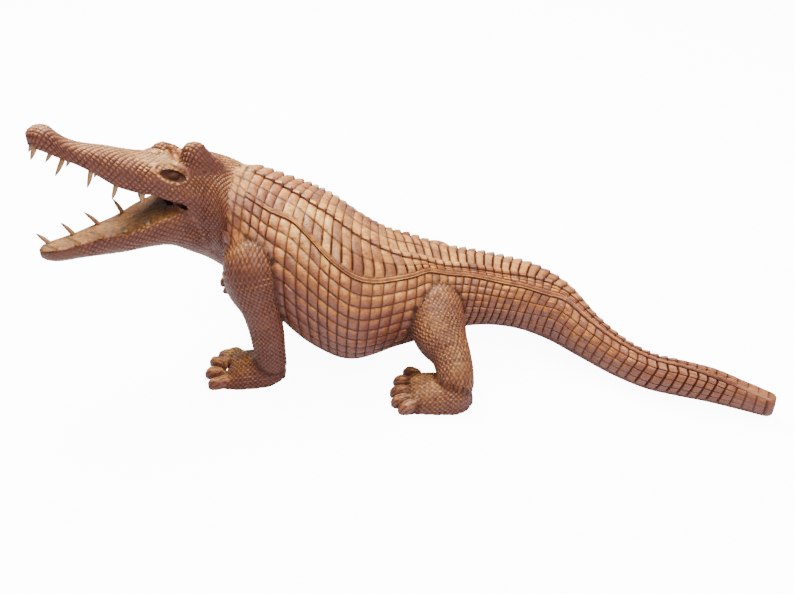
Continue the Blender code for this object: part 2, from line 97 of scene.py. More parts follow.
HEAD_YAW = math.radians(26.0)
HEAD_X, HEAD_Y = -172.0, -62.0
FRONT_MIRROR_Y, FRONT_STEP, HIND_MIRROR_Y = -42.0, -14.0, -59.0

# Body and tail: x, middle line y, top, underside, half width.
TRUNK = [
    (-134, -47.5, 166, 65, 48.4), (-122, -49, 161, 60, 52), (-110, -51, 155.5, 51, 55),
    (-98, -53, 150.5, 37, 59), (-85, -55, 145.5, 22, 64.5), (-72, -58, 141.5, 9, 69),
    (-59, -62, 137, 2.5, 72.5), (-46, -68, 131.5, 0.8, 73), (-33, -69, 123, 0.8, 71),
    (-20, -65, 114, 0.8, 65.5), (-6, -60, 106, 2, 58), (12, -57, 99, 5, 52),
    (39, -54, 86, 10, 43), (66, -52, 80, 13, 36), (93, -55, 76, 14, 32),
    (120, -62, 72, 12, 29), (145, -75, 62.5, 7, 23.5), (168, -97, 46.5, 3.5, 17),
    (191, -118, 36.5, 1.2, 14), (213, -134, 33, 0.8, 13), (237, -143, 33, 0.8, 13.5),
    (259, -150, 31, 0.8, 13), (281, -160, 27.5, 0.8, 10.5), (299, -168, 23.5, 0.8, 9.5),
]
# Neck: x, middle line y, yaw in degrees, top, underside, half width.
NECK = [
    (-112, -50, -4, 140, 66, 38), (-124, -48.5, -3, 156, 64, 43), (-135, -47.5, -1, 165.5, 66, 47.6),
    (-149, -50, 12, 175.5, 72, 44), (-161, -55, 19, 181, 81, 38),
]
# Skull and upper jaw: distance ahead of the jaw hinge, top, lip, half width.
SKULL = [
    (2, 185.5, 98, 31), (9, 186, 138, 29), (26, 188, 160, 25.5), (38, 192, 164, 22.5), (56, 200, 173, 18),
    (71, 205.5, 187, 14), (80, 210.5, 194.5, 12.4), (86, 216, 198.5, 12.6), (92, 223.5, 203, 12.8),
    (99, 225.5, 208, 11.6), (105, 224, 211.5, 9), (108.5, 220.5, 213.5, 4.5),
]
# Lower jaw: distance ahead of the hinge, lip, underside, half width.
JAW = [
    (-18, 146, 82, 30), (-6, 149, 87, 31), (7, 149, 97, 30), (23, 144, 108, 26.5), (40, 140, 110.5, 23.5),
    (59, 134, 110.5, 19.5), (75, 132, 111, 15.5), (93, 129, 112.5, 12.5), (110, 127.5, 113.5, 10),
    (118, 127, 116, 6.5), (121.5, 125, 119, 3),
]
# Legs: x, y, z, radius.
FRONT_LEG = [
    (-119, -72, 104, 22), (-119, -97, 103, 23.5), (-117, -108, 87, 23), (-112.5, -115, 70, 16.5),
    (-110, -118, 57, 15), (-108.5, -120, 43, 14.3), (-108, -121, 29, 13.6), (-108, -121, 14, 13.5),
]
HIND_LEG = [
    (28, -66, 52, 25), (31, -90, 51, 25.5), (34, -104, 46, 24.5), (38, -118, 40, 22),
    (45, -132, 33, 17), (48, -143, 25, 15.7), (49, -149, 17, 15), (50, -150, 12, 13.5),
]
# Feet: x, y, half width, height. Toes: x and y of each tip.
FRONT_FOOT = [
    (-97, -118, 5, 12), (-101, -118, 10, 21), (-109, -119.5, 15, 26),
    (-121, -118.5, 18.5, 23), (-136, -115.5, 23, 16.5), (-149, -112, 25, 11),
]
HIND_FOOT = [
    (63, -151, 6, 12), (59, -151, 12, 22), (50, -151, 17.5, 27),
    (38, -150, 19.5, 23), (23, -147, 22, 17.5), (9, -144, 24, 11.5),
]
FRONT_TOES = [(-151, -86), (-160, -91), (-165, -104), (-166, -121), (-161, -136)]
HIND_TOES = [(6, -117), (-3, -130), (-6, -145), (-5, -158), (1, -167)]


def smooth_table(rows, key, wanted):
    """Rows read off a table at the wanted values of its rising column, on smooth curves."""
    rows = np.array(rows, float)
    keys = rows[:, key]
    slope = np.empty_like(rows)
    slope[1:-1] = (rows[2:] - rows[:-2]) / (keys[2:] - keys[:-2])[:, None]
    slope[0] = (rows[1] - rows[0]) / (keys[1] - keys[0])
    slope[-1] = (rows[-1] - rows[-2]) / (keys[-1] - keys[-2])
    wanted = np.asarray(wanted, float)
    i = np.clip(np.searchsorted(keys, wanted, side="right") - 1, 0, len(keys) - 2)
    span = keys[i + 1] - keys[i]
    t = ((wanted - keys[i]) / span)[:, None]
    span = span[:, None]
    return ((2 * t ** 3 - 3 * t ** 2 + 1) * rows[i] + (t ** 3 - 2 * t ** 2 + t) * span * slope[i]
            + (3 * t ** 2 - 2 * t ** 3) * rows[i + 1] + (t ** 3 - t ** 2) * span * slope[i + 1])


def oval(x, y, yaw, top, bottom, half, angle, middle=0.5, round_top=2.0, round_low=2.0, lift=0.0):
    """Points of an upright oval section; angle in degrees from the top over the left side."""
    a = np.radians(angle)
    side, up = np.sin(a), np.cos(a)
    mid = bottom + (top - bottom) * middle
    n = np.where(up >= 0, round_top, round_low)
    across = half * np.sign(side) * np.abs(side) ** (2.0 / n) + lift * side
    rise = np.where(up >= 0, top - mid, mid - bottom) * np.sign(up) * np.abs(up) ** (2.0 / n) + lift * up
    return np.stack([x + across * np.sin(yaw), y - across * np.cos(yaw), mid + rise], axis=-1)


def head_point(s, b, z):
    """A point s in front of the jaw hinge, b to the left of the head's middle and z high."""
    x = HEAD_X - s * math.cos(HEAD_YAW) + b * math.sin(HEAD_YAW)
    y = HEAD_Y - s * math.sin(HEAD_YAW) - b * math.cos(HEAD_YAW)
    return np.array((x, y, z))


print("sections: trunk %d, neck %d, skull %d, jaw %d" % (len(TRUNK), len(NECK), len(SKULL), len(JAW)))

# %% [markdown]
# ## Tiles of the body
# The body is marked out with a ring about every 8 mm and with rows that run from neck to tail. A V-shaped
# cut along each line leaves rows of small raised tiles, flat on top and worn round at the edges. Two
# notched crests run along the back, and a smooth double-lined band runs below them. Behind the belly the
# cuts on the back become wide slots. One skin does all of it: a grid whose lines are the cuts, with extra
# lines just beside each cut, so that every groove is a true V in the mesh.

# %% Measure the middle line of the body
RING_PITCH = 7.8
fine = smooth_table(TRUNK, 0, np.arange(TRUNK[0][0], TRUNK[-1][0] + 0.25, 0.5))
run = np.concatenate([[0.0], np.cumsum(np.hypot(np.diff(fine[:, 0]), np.diff(fine[:, 1])))])
yaws = []
for k, row in enumerate(fine):
    reach = int(row[4] * 1.6)
    a, b = max(k - reach, 0), min(k + reach, len(fine) - 1)
    yaws.append(math.atan2(fine[b, 1] - fine[a, 1], fine[b, 0] - fine[a, 0]))
body_line = np.column_stack([fine[:, 0], fine[:, 1], np.array(yaws), fine[:, 2], fine[:, 3], fine[:, 4]])
ring_count = round(run[-1] / RING_PITCH)
print("middle line %.0f mm, %d rings of tiles" % (run[-1], ring_count))

# %% [markdown]
# The rows don't lie at fixed angles. The crests close up towards the tail, and the band dips over the belly
# and rises over the hip, so their angles round the section are read from a short table along the body.

# %% Lay out the rows
# Along the body: x, middle between the crests, half the angle between them, left band, left lowest row.
ROWS = [
    (-134, -18, 13, 27, 116), (-100, -17, 13.5, 28.5, 118), (-80, -14, 15, 27, 119), (-67, -10, 15, 33, 121),
    (-52, -8, 15, 41, 122), (-22, -2, 15, 48, 127), (5, 4, 18.5, 44, 129), (27, 0, 21, 34, 124),
    (56, -3, 23, 34, 126), (99, -1, 22, 39, 127), (125, -3, 18, 37, 125), (140, -7, 14, 31, 120),
    (155, -13, 9, 16, 114), (172, -16, 7, 11, 112), (204, -18, 6, 6, 114), (222, -17, 6, 8, 118),
    (249, -13, 7, 17, 116), (272, -9, 8, 27, 114), (306, -8, 8, 36, 112),
]
RIGHT_BAND, RIGHT_LOWEST = 46.0, 120.0
FLANK_ROWS = 8
# Shares across a tile at which the grid has lines: the cut, its edge, the middle, the next cut's edge.
CUT = (0.0, 0.14, 0.5, 0.86)
BAND_CUT = (0.0, 0.2, 0.4, 0.6, 0.8)
# How deep the front rim sinks into the neck, over which length, and how the tail's blunt tip closes.
RIM_SINK, RIM_LENGTH = {"left": 1.5, "right": 4.5}, 10.0
TAIL_TIP = ((3.0, 0.95), (5.6, 0.86), (7.0, 0.72))
random.seed(7)


def fade(x, start, end):
    return float(np.clip((x - start) / (end - start), 0.0, 1.0))


def lines_of_rows(x, side):
    """Every lengthwise grid line of one side: angle from the top, kind, row number, share across the row."""
    _, middle, half_gap, band, lowest = smooth_table(ROWS, 0, [x])[0]
    half_width = smooth_table(TRUNK, 0, [x])[0][4]
    if side == "right":
        middle, band, lowest = -middle, RIGHT_BAND, RIGHT_LOWEST
    reach = min(7.0, math.degrees(2.4 / half_width))
    crest = middle + half_gap
    half_crest = min(4.0, math.degrees(2.7 / half_width), half_gap * 0.6)
    between = (crest + half_crest + band - reach) / 2.0
    rows = [("back", middle, crest - half_crest), ("crest", crest - half_crest, crest + half_crest)]
    rows += [("dorsal", crest + half_crest, between), ("dorsal", between, band - reach)]
    rows += [("band", band - reach, band + reach)]
    step = (lowest - band - reach) / FLANK_ROWS
    rows += [("flank", band + reach + step * k, band + reach + step * (k + 1)) for k in range(FLANK_ROWS)]
    rows += [("belly", lowest, 180.0)]
    out = []
    for number, (kind, a, b) in enumerate(rows):
        for share in BAND_CUT if kind in ("band", "belly") else CUT:
            out.append((a + (b - a) * share, kind, number, share))
    return out


def body_height(along, kind, number, share, x, lean):
    """Height of the carved surface over the plain section, mm, and the polish and shading value of that spot,
    0 to 1.
    """
    tail = fade(x, 60, 130)
    end = (1.0 - fade(x, 266, 290)) * fade(x, -137, -129)
    if kind == "belly":
        return -0.3, 0.45
    if kind == "crest":
        size = 3.0 * (1.0 - 0.35 * fade(x, 100, 200)) * (1.0 - fade(x, 225, 250)) * fade(x, -134, -108)
        ridge = (0.1, 0.6, 1.0, 0.7)[CUT.index(share)]
        step = (-0.25, 0.45, 0.75, 1.0)[CUT.index(along)]
        polish = 0.05 if along == 0.0 else (0.55 if along == 0.14 or share == 0.0 else 1.0)
        return size * step * ridge, polish
    across = 1.0 if share == 0.0 else 0.0
    ringwise = 1.0 if along == 0.0 else 0.0
    slot = 0.0
    if kind == "back":
        slot = fade(x, -20, 20) * (1.0 - fade(x, 150, 190))
        across *= 1.0 - fade(x, 20, 50)
    # Along the foot of the crest the cut is shallower, least so under each notch, where its lower polish value
    # paints the shadow of the crest's teeth.
    if kind == "dorsal" and number == 2:
        across *= 0.75 if along in (0.0, 0.14) else 0.45
    if kind == "dorsal" and number == 3:
        across *= 1.0 - 0.4 * fade(x, -60, -20)
        slot = fade(x, -75, -50) * (1.0 - fade(x, 20, 50))
    if kind == "flank" and (number - 5) % 2 == 1:
        across *= 1.0 - tail
    if kind == "flank":
        slot = 0.22 * (1.0 - tail) + 0.6 * fade(x, 195, 225)
    ringwise *= 1.0 + 0.9 * slot
    if along in (0.14, 0.86):
        ringwise = 0.35 * slot
    groove = max(across, ringwise)
    dome = 0.25 if (share == 0.5 or along == 0.5) else 0.0
    if kind != "band" and groove < 0.1:
        dome -= 0.22 * (along in (0.14, 0.86)) + 0.22 * (share in (0.14, 0.86))
    tilt = lean[0] * (share - 0.5) + lean[1] * (along - 0.5) + lean[2]
    height = (-1.25 * groove + (1.0 - min(groove, 1.0)) * (dome + tilt)) * end
    polish = 1.0 - min(groove, 1.0) * (0.8 + 0.18 * slot) - (0.12 if dome < 0.0 else 0.0)
    if kind == "band":
        lying = fade(x, -112, -88)
        profile = {0.0: -0.75, 0.2: 0.5, 0.4: 0.3, 0.6: -0.3, 0.8: 0.6}[share]
        profile += 0.2 if along == 0.5 else 0.0
        height += lying * (profile * end - height)
        polish += lying * ({0.0: 0.3, 0.6: 0.55}.get(share, 0.95) - polish)
    return height, polish


def slant(x, angle):
    """How far, in rings, the cuts lean forward above and below the band behind the belly."""
    strength = fade(x, -70, 0) * (1.0 - 0.45 * fade(x, 110, 170)) * (1.0 - fade(x, 262, 290))
    below = max(angle - 42.0, 0.0) / 80.0
    above = max(38.0 - angle, 0.0) / 24.0
    return -strength * (1.5 * below + 0.5 * min(above, 1.0))


# %% [markdown]
# With the rows laid out, the skin is spun ring by ring: four rings of vertices for each ring of tiles. Each
# tile sits a little crooked, because the real ones were cut by eye.

# %% Cut the body tiles
skins = []


def marked_vertex(bm, place, **marks):
    """New vertex at a place in millimetres, with its marks (polish and shading, tone, carve) stored on it."""
    v = bm.verts.new((Vector(place) - ORIGIN) * MM)
    for name, value in marks.items():
        v[bm.verts.layers.float[name]] = value
    return v


def finish_skin(name, bm, most_corners=4):
    """Object from a closed skin; faces with more corners than allowed are cut into triangles."""
    bmesh.ops.triangulate(bm, faces=[f for f in bm.faces if len(f.verts) > most_corners])
    bmesh.ops.recalc_face_normals(bm, faces=bm.faces[:])
    mesh = bpy.data.meshes.new(name)
    bm.to_mesh(mesh)
    bm.free()
    ob = bpy.data.objects.new(name, mesh)
    bpy.context.scene.collection.objects.link(ob)
    return ob


def cut_body():
    bm = bmesh.new()
    for name in ("polish", "tone"):
        bm.verts.layers.float.new(name)
    rows, lean = [], {}
    for ring in range(ring_count + 1):
        for along in CUT if ring < ring_count else (0.0,):
            u = (ring + along) / ring_count * run[-1]
            x = float(np.interp(u, run, body_line[:, 0]))
            left = lines_of_rows(x, "left")
            right = [(360.0 - a, *rest) for a, *rest in reversed(lines_of_rows(x, "right")[1:])]
            row = []
            for side, spots in (("left", left), ("right", right)):
                for angle, kind, number, share in spots:
                    key = (side, ring, number)
                    if key not in lean:
                        lean[key] = [random.uniform(-0.5, 0.5), random.uniform(-0.6, 0.6),
                                     random.uniform(-0.12, 0.18), random.random()]
                    height, polish = body_height(along, kind, number, share, x, lean[key])
                    # The front rim sinks into the neck, most on the side the head turns away from.
                    height -= RIM_SINK[side] * max(0.0, 1.0 - u / RIM_LENGTH)
                    turn = angle if side == "left" else 360.0 - angle
                    where = np.clip(u + slant(x, turn) * RING_PITCH, 0.0, run[-1])
                    if ring in (0, ring_count):
                        where = u
                    spot = [float(np.interp(where, run, body_line[:, c])) for c in range(6)]
                    place = oval(*spot, angle, lift=height)
                    row.append(marked_vertex(bm, place, polish=polish, tone=lean[key][3]))
            # The bottom line of the belly closes the ring between left and right.
            spot = [float(np.interp(u, run, body_line[:, c])) for c in range(6)]
            row.insert(len(left), marked_vertex(bm, oval(*spot, 180.0), polish=0.45, tone=0.5))
            rows.append(row)
    spot = body_line[-1]
    yaw = spot[2]
    mid = (spot[3] + spot[4]) / 2.0
    angles = [a for a, *_ in left] + [180.0] + [a for a, *_ in right]
    for ahead, size in TAIL_TIP:
        moved = (spot[0] + ahead * math.cos(yaw), spot[1] + ahead * math.sin(yaw), yaw,
                 mid + (spot[3] - mid) * size, mid - (mid - spot[4]) * size, spot[5] * size)
        rows.append([marked_vertex(bm, oval(*moved, a), polish=0.75, tone=0.5) for a in angles])
    count = len(rows[0])
    for low, high in zip(rows, rows[1:]):
        for i in range(count):
            j = (i + 1) % count
            bm.faces.new((low[i], low[j], high[j], high[i]))
    bm.faces.new(rows[0])
    bm.faces.new(rows[-1])
    return finish_skin("body", bm)


body = cut_body()
skins.append(body)
print("body skin: %d vertices" % len(body.data.vertices))

# %% [markdown]
# ## Scales of the head, neck and legs
# Where the form turns tightly the carver crosses two sets of slanting cuts, and small pointed scales are
# left between them. They keep the same size from the shoulder to the snout, about 3 mm, so a narrow section
# just has fewer of them. The mesh does the same: each ring of vertices is spaced evenly from the top line
# outwards, and the height at each vertex follows a diamond lattice, so the cuts run along real mesh edges.

# %% A skin covered with scales
SCALE_STEP = 1.2
SCALE_RELIEF = 0.9


def on_scale(j, k):
    """Steps from the nearest scale's middle on the lattice: 0 the top, 1 its slope, 2 the cut."""
    a, b = j % 4, k % 4
    return min(abs(a - p) + abs(b - q) for p, q in ((0, 0), (4, 0), (0, 4), (4, 4), (2, 2)))


def on_small_scale(j, k):
    """A closer lattice for the legs and feet, whose scales are finer: 2 on a cut, 0 between."""
    return 2 if (j + k) % 3 == 0 or (j - k) % 3 == 0 else 0


def on_stroke(j, k):
    """Short lengthwise strokes for the toes: 2 on a stroke, 0 between."""
    return 2 if k % 3 == 0 and (j + 2 * k) % 9 > 1 else 0


def scaled_skin(name, section, length, step=SCALE_STEP, relief=SCALE_RELIEF, mask=None, cuts=on_scale,
                dull=0.0):
    """Skin round section(t) for t from 0 to 1, a closed outline that starts at the top, marked for scales.

    The depth of the cuts is stored as a mark, "carve", and is cut in later, when the forms are one surface.
    A mask gives the strength of the scales at a spot, and the polish where there are none. A dull skin is
    stained darker.
    """
    bm = bmesh.new()
    for mark in ("polish", "tone", "carve"):
        bm.verts.layers.float.new(mark)
    rows_wanted = max(3, round(length / step))
    rows = []
    for j in range(rows_wanted + 1):
        t = j / rows_wanted
        line = section(t)
        count = len(line)
        ahead = np.roll(line, -1, axis=0)
        arc = np.concatenate([[0.0], np.cumsum(np.linalg.norm(ahead - line, axis=1))])
        wrapped = np.vstack([line, line[:1]])
        half, whole = arc[count // 2], arc[-1]
        spots = [(k, k * step) for k in range(max(1, int(half / step - 0.5)) + 1)]
        back = [(-k, whole - k * step) for k in range(1, max(1, int((whole - half) / step - 0.5)) + 1)]
        made = {}
        for k, place in spots + [("end", half)] + back:
            if k not in (0, "end") and 0 < j < rows_wanted:
                place += random.uniform(-0.2, 0.2) * step
            p = np.array([np.interp(place, arc, wrapped[:, c]) for c in range(3)])
            value = 0.8 if k == "end" else (1.0, 0.66, 0.0)[cuts(j, k)]
            strength, bare = (1.0, 0.5) if mask is None else mask(t, p)
            strength *= 0.9 + 0.5 * noise.noise(Vector(p) * 0.07)
            tone = random.uniform(0.2 + dull, 0.8 + dull)
            carve = relief * (value - 1.0) * strength * random.uniform(0.7, 1.15)
            polish = (0.26 + 0.64 * value + random.uniform(-0.1, 0.1)) * strength + bare * (1.0 - strength)
            made[k] = (marked_vertex(bm, p, tone=tone, carve=carve, polish=polish), value)
        rows.append((len(spots) - 1, len(back), made))

    def quad(a, b, c, d):
        """Two triangles, split along the cut."""
        if (abs(a[1] - c[1]), a[1] + c[1]) < (abs(b[1] - d[1]), b[1] + d[1]):
            bm.faces.new((a[0], b[0], c[0]))
            bm.faces.new((a[0], c[0], d[0]))
        else:
            bm.faces.new((a[0], b[0], d[0]))
            bm.faces.new((b[0], c[0], d[0]))

    for (left_a, right_a, a), (left_b, right_b, b) in zip(rows, rows[1:]):
        for sign, last_a, last_b in ((1, left_a, left_b), (-1, right_a, right_b)):
            same = min(last_a, last_b)
            for k in range(same):
                quad(a[sign * k], a[sign * (k + 1)], b[sign * (k + 1)], b[sign * k])
            for k in range(same, last_a):
                bm.faces.new((a[sign * k][0], a[sign * (k + 1)][0], b[sign * same][0]))
            for k in range(same, last_b):
                bm.faces.new((a[sign * same][0], b[sign * (k + 1)][0], b[sign * k][0]))
            bm.faces.new((a[sign * last_a][0], a["end"][0], b["end"][0]))
            bm.faces.new((a[sign * last_a][0], b["end"][0], b[sign * last_b][0]))
    for left, right, made in (rows[0], rows[-1]):
        order = [*range(left + 1), "end", *range(-right, 0)]
        bm.faces.new([made[k][0] for k in order])
    skins.append(finish_skin(name, bm))


def along_table(rows, columns):
    """Reader of a table by share of its length, measured on the given columns, and that length."""
    rows = np.array(rows, float)
    lengths = np.concatenate([[0.0], np.cumsum(np.linalg.norm(np.diff(rows[:, columns], axis=0), axis=1))])
    keyed = np.column_stack([lengths, rows])
    return lambda t: smooth_table(keyed, 0, [np.clip(t, 0, 1) * lengths[-1]])[0][1:], lengths[-1]


TURN = np.linspace(0.0, 360.0, 96, endpoint=False)
print("scale pitch %.1f mm" % (SCALE_STEP * 2 * math.sqrt(2)))

# %% [markdown]
# The neck, skull and upper jaw are one skin, and the throat and lower jaw another. The roof and the floor
# of the mouth are left smooth, and so is the front of the lower jaw, where the cuts fade out on the real
# piece.

# %% Carve the head
skull_rows = []
for x, y, yaw, top, low, half in NECK:
    skull_rows.append((x, y, math.radians(yaw), top, low, half, 0.5, 2.0, 2.0))
for k, (s, top, lip, half) in enumerate(SKULL):
    flat = min(1.0, k / 2.0)
    x, y, _ = head_point(s, 0, 0)
    shape = (0.5 - 0.25 * flat, 2.0 + 0.7 * flat, 2.0 + 3.0 * flat)
    skull_rows.append((x, y, HEAD_YAW, top, lip, half, *shape))
read_skull, skull_length = along_table(skull_rows, [0, 1, 3])


def skull_section(t):
    x, y, yaw, top, low, half, middle, round_top, round_low = read_skull(t)
    return oval(x, y, yaw, top, low, half, TURN, middle, round_top, round_low)


def skull_mask(t, p):
    row = read_skull(t)
    in_mouth = row[0] < head_point(6, 0, 0)[0] and p[2] < row[4] + 1.6
    return (0.0, 0.3) if in_mouth else (1.0, 0.5)


jaw_rows = [(*head_point(s, 0, 0)[:2], lip, low, half, s) for s, lip, low, half in JAW]
read_jaw, jaw_length = along_table(jaw_rows, [0, 1])


def jaw_section(t):
    x, y, lip, low, half, _ = read_jaw(t)
    return oval(x, y, HEAD_YAW, lip, low, half, TURN, 0.72, 5.0, 2.1)


def jaw_mask(t, p):
    row = read_jaw(t)
    if p[2] > row[2] - 1.6 and row[5] > 0:
        return 0.0, 0.2 + 0.14 * fade(row[5], 50, 80)
    return 1.0 - 0.75 * fade(row[5], 84, 100), 0.45


def ball_section(centre, radii, tilt=0.0):
    """Oval ball along the head, seen as a row of sections."""
    def section(t):
        turn = math.pi * (0.04 + 0.92 * t)
        ahead, size = -math.cos(turn) * radii[0], math.sin(turn)
        x = centre[0] - ahead * math.cos(tilt) * math.cos(HEAD_YAW)
        y = centre[1] - ahead * math.cos(tilt) * math.sin(HEAD_YAW)
        z = centre[2] + ahead * math.sin(tilt)
        return oval(x, y, HEAD_YAW, z + radii[2] * size, z - radii[2] * size, radii[1] * size, TURN)
    return section


scaled_skin("skull", skull_section, skull_length, mask=skull_mask)
scaled_skin("jaw", jaw_section, jaw_length, mask=jaw_mask)
for name, centre, radii in (
    ("brow_left", (-7, 10.5, 179), (15, 9.5, 17.3)), ("nape_left", (-16, 9.5, 171), (15, 9, 12)),
    ("brow_right", (12, -10.5, 175.5), (16, 11, 16.2)), ("nape_right", (-8, -9.5, 170), (14, 9, 12)),
):
    scaled_skin(name, ball_section(head_point(*centre), radii), 2.6 * radii[0])
print("head skins:", [(o.name, len(o.data.vertices)) for o in skins[1:]])

# %% [markdown]
# ## Legs and feet
# Each leg is a bent, tapering limb that grows out of the body and ends in a broad foot with five blunt
# toes. The right legs stand behind the body, so they are the left ones mirrored, with the front foot a
# little further ahead.

# %% Carve the legs
LEG_STEP, FOOT_STEP = 1.32, 1.42
LEG_RELIEF, FOOT_RELIEF, TOE_RELIEF = 0.75, 0.7, 0.5
TOE_LENGTH, TOE_HALF_WIDTH, TOE_HEIGHT, TOE_LIFT = 17.0, 5.6, 11.5, 0.5
# Along a toe: share of its length, of its width and of its height.
TOE_SHAPE = [(0.0, 1.0, 1.0), (0.45, 0.98, 0.96), (0.7, 0.93, 0.86), (0.88, 0.76, 0.68), (1.0, 0.38, 0.42)]
HIND_DULL = 0.35


def limb_section(path):
    read, length = along_table(path, [0, 1, 2])

    def section(t):
        p = read(t)
        along = Vector(read(min(t + 0.06, 1.0))[:3] - read(max(t - 0.06, 0.0))[:3]).normalized()
        if t > 0.9:
            along = along.lerp(Vector((0, 0, -1)), (t - 0.9) * 10).normalized()
        side = 1.0 if path[-1][1] > -60 else -1.0
        front = Vector((-0.6, 0.35 * side, 0.7))
        front = (front - along * front.dot(along)).normalized()
        across = along.cross(front)
        a = np.radians(TURN)[:, None]
        return p[:3] + (np.cos(a) * np.array(front) + np.sin(a) * np.array(across)) * p[3]
    return section, length


def flat_arch():
    """Arch with a flat underside, seen from the front: across from -1 to 1 and rise from 0 to 1."""
    a = np.radians(TURN)
    over = np.cos(a) > 0
    across = np.where(over, np.sign(np.sin(a)) * np.abs(np.sin(a)) ** 0.8, (180.0 - TURN) / 90.0)
    return across, np.where(over, np.abs(np.cos(a)) ** 0.8, 0.0)


def foot_section(rows):
    read, length = along_table(rows, [0, 1])
    across, rise = flat_arch()

    def section(t):
        x, y, half, height = read(t)
        return np.column_stack([np.full(len(TURN), x), y - across * half, rise * height])
    return section, length


def toe_section(tip, aim):
    tip, aim = Vector((*tip, 0)), Vector((*aim, 0))
    back = (aim - tip).normalized()
    side = Vector((-back.y, back.x, 0))
    across, rise = flat_arch()

    def section(t):
        share, wide, high = smooth_table(TOE_SHAPE, 0, [t])[0]
        middle = np.array(tip + back * TOE_LENGTH * (1.0 - share))
        sideways = np.outer(across, np.array(side)) * TOE_HALF_WIDTH * wide
        return middle + sideways + np.outer(TOE_LIFT + rise * TOE_HEIGHT * high, (0, 0, 1))
    return section


def above_sole(t, p):
    return float(np.clip((p[2] - 0.8) / 1.5, 0.0, 1.0)), 0.4


def mirror_row(row, mirror_y, step):
    return (row[0] + step, 2.0 * mirror_y - row[1]) + tuple(row[2:])


for side in ("left", "right"):
    for limb, leg, foot, toes, mirror_y, step in (
        ("front", FRONT_LEG, FRONT_FOOT, FRONT_TOES, FRONT_MIRROR_Y, FRONT_STEP),
        ("hind", HIND_LEG, HIND_FOOT, HIND_TOES, HIND_MIRROR_Y, 0.0),
    ):
        if side == "right":
            leg = [mirror_row(r, mirror_y, step * (0.4 if k < 2 else 1.0)) for k, r in enumerate(leg)]
            foot = [mirror_row(r, mirror_y, step) for r in foot]
            toes = [mirror_row(r, mirror_y, step) for r in toes]
        dull = HIND_DULL if limb == "hind" else 0.0
        section, length = limb_section(leg)
        name = "%s_leg_%s" % (limb, side)
        scaled_skin(name, section, length, LEG_STEP, LEG_RELIEF, cuts=on_small_scale, dull=0.2 + dull / 2)
        section, length = foot_section(foot)
        name = "%s_foot_%s" % (limb, side)
        scaled_skin(name, section, length, FOOT_STEP, FOOT_RELIEF, above_sole, on_small_scale, dull)
        for k, tip in enumerate(toes):
            section = toe_section(tip, foot[2][:2])
            name = "%s_toe_%s_%d" % (limb, side, k + 1)
            scaled_skin(name, section, TOE_LENGTH, FOOT_STEP, TOE_RELIEF, above_sole, on_stroke, dull)


def triangle_count(mesh):
    return sum(len(p.vertices) - 2 for p in mesh.polygons)


print("skins so far:", len(skins), "triangles:", sum(triangle_count(o.data) for o in skins))

# %% [markdown]
# ## One piece of wood
# All of these forms are one block, so the skins are joined into a single closed surface, and the hollows
# are cut out of it afterwards: the back of the mouth and its left corner, the eye sockets with the eyeballs
# left standing in them, and the tooth holes.

# %% Cut the hollows and join
# Each tooth: ahead of the hinge, out from the middle, height, its direction in the same three, its length.
TEETH = {
    ("upper", "left"): [
        (104.0, 6.5, 213.0, 0.42, 0.10, -0.90, 11.0), (88.0, 8.5, 200.0, 0.50, 0.10, -0.86, 14.0),
        (71.0, 11.0, 187.0, 0.33, 0.10, -0.94, 12.6), (56.0, 14.5, 173.0, 0.38, 0.10, -0.92, 10.5),
        (38.0, 18.5, 164.0, 0.20, 0.10, -0.97, 8.5),
    ],
    ("upper", "right"): [
        (104.0, 6.5, 213.0, 0.42, 0.10, -0.90, 11.0), (92.5, 8.0, 203.0, 0.50, 0.10, -0.86, 13.0),
        (81.0, 9.5, 195.0, 0.40, 0.10, -0.91, 11.0), (64.0, 12.0, 179.5, 0.38, 0.10, -0.92, 9.5),
        (45.0, 17.0, 166.0, 0.25, 0.10, -0.96, 8.5),
    ],
    ("lower", "left"): [
        (110.0, 7.5, 127.5, 0.50, 0.42, 0.76, 12.0), (93.0, 9.5, 129.0, 0.40, 0.42, 0.81, 13.0),
        (75.0, 12.0, 132.0, 0.50, 0.42, 0.75, 13.5), (56.0, 16.0, 135.0, 0.35, 0.38, 0.86, 3.2),
        (39.0, 20.5, 140.0, 0.35, 0.30, 0.88, 1.6),
    ],
    ("lower", "right"): [
        (113.5, 5.5, 127.5, 0.55, 0.36, 0.73, 11.5), (94.0, 8.0, 129.0, 0.45, 0.38, 0.80, 13.0),
        (73.5, 10.5, 132.0, 0.50, 0.38, 0.76, 14.5), (53.0, 14.5, 136.0, 0.28, 0.34, 0.89, 13.0),
        (35.0, 18.0, 141.0, 0.20, 0.30, 0.92, 8.0),
    ],
}
BROKEN = [("lower", "left", 4), ("lower", "left", 5)]
PEG_RADIUS, PEG_ROOT, PEG_BEND = 2.0, 3.5, 0.10
HOLE_RADIUS, HOLE_SPAN = 2.4, (-3.85, 3.0)
EYE_TILT = math.radians(22)
# Hollows: middle as for the teeth, then the radii along, across and up.
MOUTH_HOLLOW = (20, 0, 152.5), (28, 17, 8), math.radians(16)
MOUTH_CORNER = (18, 26, 153.6), (13, 6, 3.6), math.radians(22)
SOCKET, SOCKET_RADII = (13.5, 24.8, 178.0), (12.0, 6.5, 5.6)
EYEBALL, EYEBALL_RADII = (13.5, 17.9, 173.6), (6.5, 4.6, 4.6)


def peg_axes(row, side):
    s, b, z, forward, outward, up, _ = row
    sign = 1.0 if side == "left" else -1.0
    mouth = head_point(s, b * sign, z)
    along = head_point(s + forward, (b + outward) * sign, z + up) - mouth
    along /= np.linalg.norm(along)
    lean = head_point(s + 1.0, b * sign, z) - mouth
    lean -= along * lean.dot(along)
    return mouth, along, lean / np.linalg.norm(lean)


